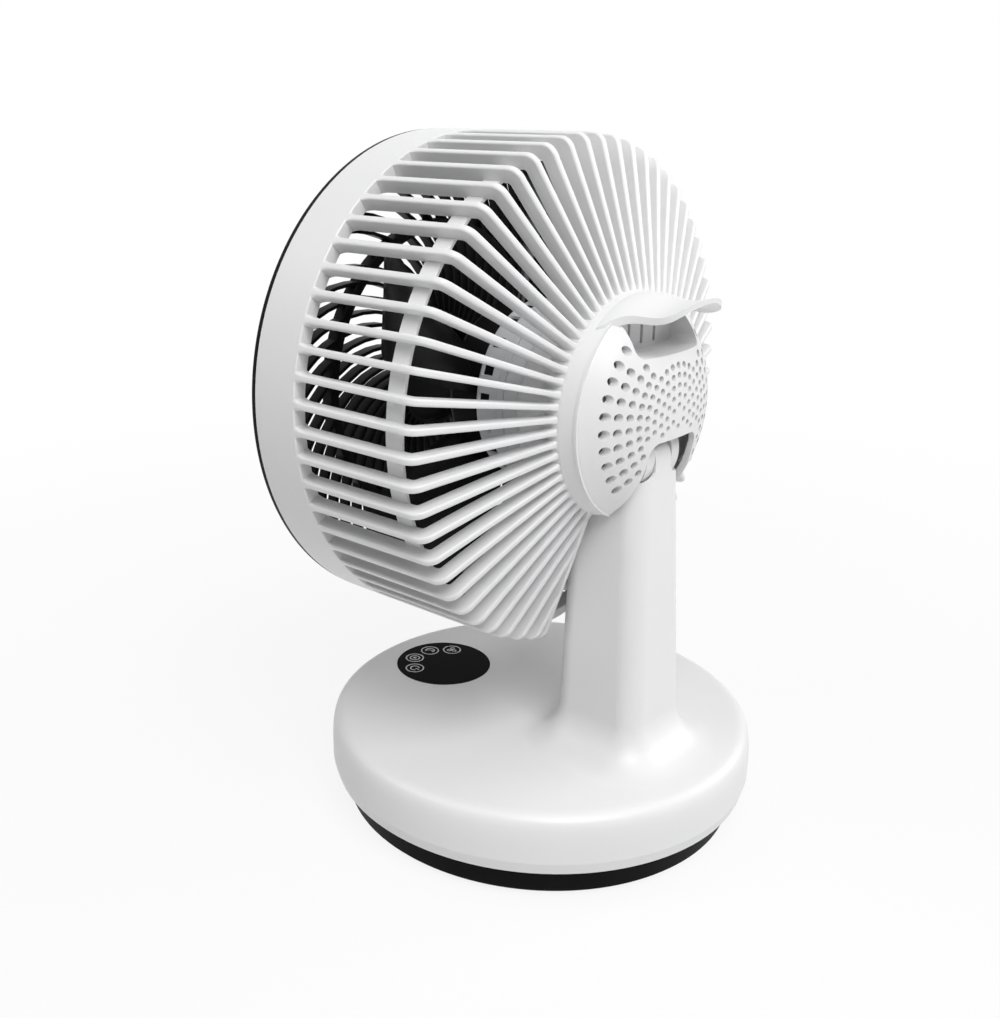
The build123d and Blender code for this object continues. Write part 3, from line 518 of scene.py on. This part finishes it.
def makeVanes():
    leastAngle, leastLength = grille["roundedFrom"]
    vane = bmesh.new()
    faces = strip(vane, vanePairs())
    made = bmesh.ops.extrude_face_region(vane, geom=faces)["geom"]
    lifted = [v for v in made if isinstance(v, bmesh.types.BMVert)]
    bmesh.ops.translate(vane, verts=lifted, vec=(0, grille["depth"], 0))
    bmesh.ops.recalc_face_normals(vane, faces=vane.faces)
    sharpEdges = [
        e for e in vane.edges if len(e.link_faces) == 2 and e.calc_face_angle() > leastAngle
        and abs(e.verts[0].co.y - e.verts[1].co.y) < 1e-6 and e.calc_length() > leastLength]
    bmesh.ops.bevel(
        vane, geom=sharpEdges, offset=grille["rounding"], offset_type="OFFSET", segments=2,
        profile=0.5, affect="EDGES", material=-1, clamp_overlap=True)
    bm = bmesh.new()
    for k in range(grille["vanes"]):
        one = vane.copy()
        bmesh.ops.rotate(
            one, verts=one.verts, cent=(0, 0, 0),
            matrix=Matrix.Rotation(math.tau * k / grille["vanes"], 3, "Y"))
        addTo(bm, one)
    vane.free()
    onHead(bm)
    finishPiece("grilleVanes", bm, "head", "black_plastic", ["front_grille"])


def makeRim():
    bm = bmesh.new()
    spunRing(bm, grille["rim"], 240)
    spunRing(bm, grille["ring"], 160)
    spunRing(bm, grille["disc"], 120)
    for pole, place, rounding in grille["disc"][-2:]:
        # the disc's middle is closed to a point on both faces
        near = [v for v in bm.verts if math.hypot(v.co.x, v.co.z) < pole * 1.5
                and abs(v.co.y - place) < pole]
        bmesh.ops.pointmerge(bm, verts=near, merge_co=(0, place, 0))
    onHead(bm)
    finishPiece("grilleRim", bm, "head", "black_plastic", ["front_grille"])


makeVanes()
makeRim()
print("front grille made")


# motor housing behind the blade: stepped shell with a row of slots

motor = {
    "radius": 0.0440,
    "front": -0.0100,
    "back": 0.0155,
    "frontRounding": 0.0016,
    "rounding": 0.0003,
    "wall": 0.002,
    "step": 0.0006,         # how far the rear half stands out
    "stepPlace": 0.0033,
    "groove": (0.0066, 0.0071),
    "grooveSlope": 0.00005,
    "boreRadius": 0.0080,   # around the shaft
    "collarRadius": 0.0120,
    "collarDepth": 0.0065,
    "slots": 20,
    "slotFrom": -0.0083,
    "slotTo": -0.0018,
    "slotTurn": 4.0,        # degrees to the first slot
    "slotRim": 0.0004,
    "slotDepth": 0.0013,
    "steps": 200,           # a slot is four of them wide
    "posts": (30, 90, 150, 210, 330),  # degrees to each screw post
    "postInset": 0.00697,
    "postRadius": 0.0034,
    "postLength": 0.009,
    "web": (0.0062, 0.003),  # length and thickness
}


def makeMotorHousing():
    radius, front, back = motor["radius"], motor["front"], motor["back"]
    wide, inside = radius + motor["step"], radius - motor["wall"]
    bore, collar = motor["boreRadius"], motor["collarRadius"]
    floor, collarEnd = front + motor["wall"], front + motor["collarDepth"]
    stepPlace, soft = motor["stepPlace"], motor["rounding"]
    grooveFrom, grooveTo = motor["groove"]
    slope = motor["grooveSlope"]
    steps = motor["steps"]
    bm = bmesh.new()
    spunRing(bm, [
        (bore, front, soft), (radius, front, motor["frontRounding"]),
        (radius, motor["slotFrom"], 0), (radius, motor["slotTo"], 0),
        (radius, stepPlace - motor["step"], soft), (wide, stepPlace, soft),
        (wide, grooveFrom, 0.0001), (radius, grooveFrom + slope, 0),
        (radius, grooveTo - slope, 0), (wide, grooveTo, 0.0001),
        (wide, back, 0), (inside, back, 0), (inside, floor, 0.0008),
        (collar, floor, 0.0006), (collar, collarEnd, soft), (bore, collarEnd, soft)], steps)
    pitch = 360 / motor["slots"]

    def inSlot(face):
        middle = face.calc_center_median()
        if math.hypot(middle.x, middle.z) < radius - 0.0003:
            return False
        if not motor["slotFrom"] < middle.y < motor["slotTo"]:
            return False
        turn = (math.degrees(math.atan2(middle.z, middle.x)) - motor["slotTurn"]) % pitch
        return min(turn, pitch - turn) < 2 * 360 / steps
    slotFacesPaintedDark = [f for f in bm.faces if inSlot(f)]
    bmesh.ops.recalc_face_normals(bm, faces=bm.faces)
    bmesh.ops.inset_region(
        bm, faces=slotFacesPaintedDark, thickness=motor["slotRim"], depth=-motor["slotDepth"],
        use_even_offset=True)
    # the slot bottoms are painted black: painted shade standing in for the dark inside that shows
    # through the real open slots, which are only shallow pockets here
    for face in slotFacesPaintedDark:
        face.material_index = 1
    reach = radius - motor["postInset"]
    length = motor["postLength"]
    webLength, webThickness = motor["web"]
    for degrees in motor["posts"]:
        # screw posts and the webs that tie them to the wall
        turn = math.radians(degrees)
        post = bmesh.ops.create_cone(
            bm, cap_ends=True, segments=32, radius1=motor["postRadius"],
            radius2=motor["postRadius"], depth=length)["verts"]
        bmesh.ops.rotate(
            bm, verts=post, cent=(0, 0, 0), matrix=Matrix.Rotation(math.pi / 2, 3, "X"))
        bmesh.ops.translate(bm, verts=post, vec=(
            reach * math.cos(turn), back - length / 2, reach * math.sin(turn)))
        web = bmesh.ops.create_cube(bm, size=1.0)["verts"]
        bmesh.ops.scale(bm, verts=web, vec=(webLength, length, webThickness))
        bmesh.ops.translate(bm, verts=web, vec=(reach + webLength / 2, back - length / 2, 0))
        bmesh.ops.rotate(bm, verts=web, cent=(0, 0, 0), matrix=Matrix.Rotation(-turn, 3, "Y"))
    onHead(bm)
    # the second material, black_plastic, is the painted shade on the slot bottoms
    finishPiece(
        "motorHousing", bm, "head", "grey_plastic", ["motor_cup"], extra=["black_plastic"])


makeMotorHousing()
print("motor housing made")


# blade: hub with a rounded nose and five cambered blades

blade = {
    "count": 5,
    "place": -0.0235,
    "turn": 49.0,
    "sections": ((0.0385, 0.034, 40.0, 0.0, 0.0026), (0.0741, 0.052, 31.0, 0.006, 0.0021),
                 (0.1110, 0.066, 23.0, 0.014, 0.0015)),  # radius, chord, pitch, sweep, thickness
    "radii": (0.0385, 0.045, 0.055, 0.065, 0.0741, 0.083, 0.091, 0.098, 0.1025, 0.1055,
              0.1072, 0.1081),
    "tipRounding": (1, 1, 1, 1, 1, 1, 1, 1, 0.985, 0.95, 0.90, 0.83),
    "camber": 0.055,
    "fullness": 5,          # higher keeps a section thick nearer to its edges
    "points": 11,           # along each side of a section
    "hub": ((0.0030, -0.0370, 0), (0.0320, -0.0370, 0.004), (0.0400, -0.0290, 0.004),
            (0.0400, -0.0125, 0.0006), (0.0376, -0.0125, 0.0004), (0.0376, -0.0280, 0.002),
            (0.0310, -0.0344, 0.002), (0.0080, -0.0344, 0.0008), (0.0080, -0.0210, 0.0005),
            (0.0030, -0.0210, 0)),  # profile of (radius, y, rounding)
}


def bladeSection(radius, share):
    inner, middle, outer = blade["sections"]
    a, b = (inner, middle) if radius < middle[0] else (middle, outer)
    t = (radius - a[0]) / (b[0] - a[0])
    chord, pitch, sweep, thick = (a[k] + (b[k] - a[k]) * t for k in (1, 2, 3, 4))
    chord *= share
    pitch = math.radians(pitch)
    loop = []
    last = blade["points"] - 1
    for side in (1, -1):
        for step in range(last + 1):
            if side == -1 and step in (0, last):
                continue
            s = 0.5 - 0.5 * math.cos(math.pi * (step if side == 1 else last - step) / last)
            half = thick / 2 * math.sqrt(max(0.0, 1 - abs(2 * s - 1) ** blade["fullness"]))
            off = blade["camber"] * chord * 4 * s * (1 - s) + side * half
            along = (s - 0.5) * chord
            around = sweep + along * math.cos(pitch) + off * math.sin(pitch)
            deep = -along * math.sin(pitch) + off * math.cos(pitch)
            turn = around / radius
            loop.append(Vector((
                radius * math.cos(turn), blade["place"] + deep, radius * math.sin(turn))))
    return loop


def makeBlade():
    one = bmesh.new()
    before = None
    for radius, share in zip(blade["radii"], blade["tipRounding"]):
        verts = [one.verts.new(p) for p in bladeSection(radius, share)]
        edges = [one.edges.new((verts[k - 1], verts[k])) for k in range(len(verts))]
        if before:
            bmesh.ops.bridge_loops(one, edges=before + edges)
        else:
            one.faces.new(verts)
        before = edges
    one.faces.new(verts)
    bmesh.ops.recalc_face_normals(one, faces=one.faces)
    bm = bmesh.new()
    for k in range(blade["count"]):
        copy = one.copy()
        turn = math.radians(360 * k / blade["count"] + blade["turn"])
        bmesh.ops.rotate(
            copy, verts=copy.verts, cent=(0, 0, 0), matrix=Matrix.Rotation(turn, 3, "Y"))
        addTo(bm, copy)
    one.free()
    spunRing(bm, blade["hub"], 120)
    onHead(bm)
    finishPiece("bladeWheel", bm, "rotor", "blade_black", ["fan_blade"])


makeBlade()
print("blade made")


# touch icons printed on the panel

icons = {
    "panelRadius": 0.0265,
    "panelY": -0.068,
    "height": 0.0469,
    "ink": 0.00003,         # thickness of the print
    "ring": 0.0053,         # outer radius of each ring
    "line": 0.00075,
    "reach": 0.667,         # share of the panel's radius at which the icons sit
    "spacing": 43.0,        # degrees between icons
}


def stroke(bm, points, width, close=False):
    # flat printed line of even width through the points
    count = len(points)
    pairs = []
    for k in range(count + (1 if close else 0)):
        here = points[k % count]
        before = points[(k - 1) % count] if close or k > 0 else here
        after = points[(k + 1) % count] if close or k < count - 1 else here
        along = (after - before).normalized()
        aside = Vector((-along.y, along.x)) * width / 2
        pairs.append([(*(here + aside), 0), (*(here - aside), 0)])
    line = bmesh.new()
    strip(line, pairs)
    if close:
        bmesh.ops.remove_doubles(line, verts=line.verts, dist=1e-7)
    addTo(bm, line)


def arcPoints(radius, start, arc, steps, centre=(0, 0)):
    points = []
    for step in range(steps + 1):
        turn = math.radians(start + arc * step / steps)
        points.append(Vector((
            centre[0] + radius * math.cos(turn), centre[1] + radius * math.sin(turn))))
    return points


def iconShape(bm, kind):
    # a ring around a sign, whose sizes are shares of the ring's radius
    line = icons["line"]
    ring = icons["ring"]
    stroke(bm, arcPoints(ring - line / 2, 0, 360, 48)[:-1], line, True)
    if kind == "power":
        stroke(bm, arcPoints(ring * 0.46, 130, 280, 28), line)
        stroke(bm, [Vector((0, ring * 0.12)), Vector((0, ring * 0.58))], line)
    if kind == "target":
        stroke(bm, arcPoints(ring * 0.5, 0, 360, 32)[:-1], line, True)
        stroke(bm, arcPoints(ring * 0.1, 0, 360, 16)[:-1], ring * 0.2, True)
    if kind == "moon":
        stroke(bm, arcPoints(ring * 0.48, 75, 250, 24), line)
        stroke(bm, arcPoints(ring * 0.42, 110, 180, 18, (ring * 0.28, ring * 0.12)), line * 0.8)
    if kind == "fan":
        for middle in arcPoints(ring * 0.33, 90, 360, 3)[:-1]:
            turn = math.degrees(math.atan2(middle.y, middle.x))
            stroke(bm, arcPoints(ring * 0.2, turn + 180, 360, 20, middle)[:-1], line * 0.8, True)
        stroke(bm, arcPoints(ring * 0.06, 0, 360, 12)[:-1], ring * 0.12, True)


def makeIcons():
    bm = bmesh.new()
    for k, kind in enumerate(("power", "target", "moon", "fan")):
        one = bmesh.new()
        iconShape(one, kind)
        turn = math.radians(-90 + icons["spacing"] * (1.5 - k))
        reach = icons["panelRadius"] * icons["reach"]
        made = bmesh.ops.extrude_face_region(one, geom=one.faces[:])["geom"]
        lifted = [v for v in made if isinstance(v, bmesh.types.BMVert)]
        bmesh.ops.translate(one, verts=lifted, vec=(0, 0, icons["ink"]))
        bmesh.ops.translate(one, verts=one.verts, vec=(
            reach * math.cos(turn), icons["panelY"] + reach * math.sin(turn), icons["height"]))
        addTo(bm, one)
    finishPiece("panelIcons", bm, "turning_base", "lamp_plastic", look="icon_print")


makeIcons()
print("panel icons made")


# camera, floor and lights

view = {
    "place": (0.4568, 0.3370, 0.3511),
    "forward": (-0.6960, -0.6461, -0.3131),
    "up": (-0.2307, -0.2118, 0.9497),
    "focal": 1178.0,        # in photograph pixels
    "centre": (418.9, 492.0),
    "frame": (1000.0, 1018.0),
    "sensor": 36.0,         # millimetres
}


def addCamera():
    data = bpy.data.cameras.new("photoCamera")
    camera = bpy.data.objects.new("photoCamera", data)
    bpy.context.scene.collection.objects.link(camera)
    ahead = Vector(view["forward"]).normalized()
    right = ahead.cross(Vector(view["up"])).normalized()
    up = right.cross(ahead)
    turn = Matrix((right, up, -ahead)).transposed()
    camera.matrix_world = Matrix.Translation(Vector(view["place"])) @ turn.to_4x4()
    wide, high = view["frame"]
    data.sensor_width = view["sensor"]
    data.lens = view["sensor"] * view["focal"] / high
    data.shift_x = (wide / 2 - view["centre"][0]) / high
    data.shift_y = -(high / 2 - view["centre"][1]) / high
    data.clip_start = 0.01
    data.clip_end = 30
    bpy.context.scene.camera = camera


stage = {
    "floorColour": (0.80, 0.80, 0.80),
    "roughness": 0.9,
    "specular": 0.1,
    "size": 6.0,
    "shadowShow": 0.88,     # share of plain white in the floor around the fan
    "fade": (0.25, 0.85),   # metres over which the floor turns to plain white
}


def whiteForView(tree, lit):
    # mixes plain white into a shader for what the camera, gloss and glass see
    path = addNode(tree, "ShaderNodeLightPath")
    seen = addNode(tree, "ShaderNodeMath", {"operation": "MAXIMUM"})
    clear = addNode(tree, "ShaderNodeMath", {"operation": "MAXIMUM"})
    tree.links.new(path.outputs["Is Camera Ray"], seen.inputs[0])
    tree.links.new(path.outputs["Is Glossy Ray"], seen.inputs[1])
    tree.links.new(seen.outputs[0], clear.inputs[0])
    tree.links.new(path.outputs["Is Transmission Ray"], clear.inputs[1])
    share = addNode(tree, "ShaderNodeMath", {"operation": "MULTIPLY"}, {1: 1.0})
    tree.links.new(clear.outputs[0], share.inputs[0])
    mix = addNode(tree, "ShaderNodeMixShader")
    tree.links.new(share.outputs[0], mix.inputs["Fac"])
    tree.links.new(lit.outputs[0], mix.inputs[1])
    return mix, share


def addFloor():
    bm = bmesh.new()
    bmesh.ops.create_grid(bm, x_segments=1, y_segments=1, size=stage["size"])
    mesh = bpy.data.meshes.new("floor")
    bm.to_mesh(mesh)
    bm.free()
    floor = bpy.data.objects.new("floor", mesh)
    bpy.context.scene.collection.objects.link(floor)
    material = bpy.data.materials.new("floorPaint")
    material.use_nodes = True
    tree = material.node_tree
    shader = tree.nodes["Principled BSDF"]
    shader.inputs["Base Color"].default_value = (*stage["floorColour"], 1)
    shader.inputs["Roughness"].default_value = stage["roughness"]
    shader.inputs["Specular IOR Level"].default_value = stage["specular"]
    plain = addNode(tree, "ShaderNodeEmission", inputs={"Color": (1, 1, 1, 1), "Strength": 1.0})
    mix, share = whiteForView(tree, shader)
    place = addNode(tree, "ShaderNodeTexCoord")
    away = addNode(tree, "ShaderNodeVectorMath", {"operation": "LENGTH"})
    fade = addNode(tree, "ShaderNodeMapRange", inputs={
        "From Min": stage["fade"][0], "From Max": stage["fade"][1],
        "To Min": stage["shadowShow"], "To Max": 1.0})
    tree.links.new(place.outputs["Object"], away.inputs[0])
    tree.links.new(away.outputs["Value"], fade.inputs["Value"])
    tree.links.new(fade.outputs["Result"], share.inputs[1])
    tree.links.new(plain.outputs[0], mix.inputs[2])
    tree.links.new(mix.outputs[0], tree.nodes["Material Output"].inputs["Surface"])
    mesh.materials.append(material)


lights = {
    "leftFront": {"place": (1.3, -1.1, 1.9), "size": 1.1, "power": 11},
    "aboveCamera": {"place": (0.70, 1.05, 1.75), "size": 1.2, "power": 33},
    "rightHigh": {"place": (-0.6, 1.6, 1.8), "size": 1.2, "power": 5},
    "right": {"place": (-1.6, 0.9, 1.0), "size": 1.2, "power": 14},
    "top": {"place": (0.0, 0.1, 2.2), "size": 1.6, "power": 5},
}
lampTarget = (0, 0, 0.18)
worldStrength = 0.06


def addLights():
    for name, look in lights.items():
        data = bpy.data.lights.new(name, "AREA")
        data.size = look["size"]
        data.energy = look["power"]
        lamp = bpy.data.objects.new(name, data)
        bpy.context.scene.collection.objects.link(lamp)
        lamp.location = look["place"]
        aim = Vector(lampTarget) - Vector(look["place"])
        lamp.rotation_euler = aim.to_track_quat("-Z", "Y").to_euler()
    world = bpy.data.worlds.new("studio")
    world.use_nodes = True
    bpy.context.scene.world = world
    tree = world.node_tree
    shade = tree.nodes["Background"]
    shade.inputs["Color"].default_value = (1, 1, 1, 1)
    shade.inputs["Strength"].default_value = worldStrength
    plain = addNode(tree, "ShaderNodeBackground", inputs={"Color": (1, 1, 1, 1), "Strength": 1.0})
    mix, share = whiteForView(tree, shade)
    tree.links.new(plain.outputs[0], mix.inputs[2])
    tree.links.new(mix.outputs[0], tree.nodes["World Output"].inputs["Surface"])
    bpy.context.scene.view_settings.view_transform = "Standard"


addCamera()
addFloor()
addLights()
print("camera, floor and lights placed")
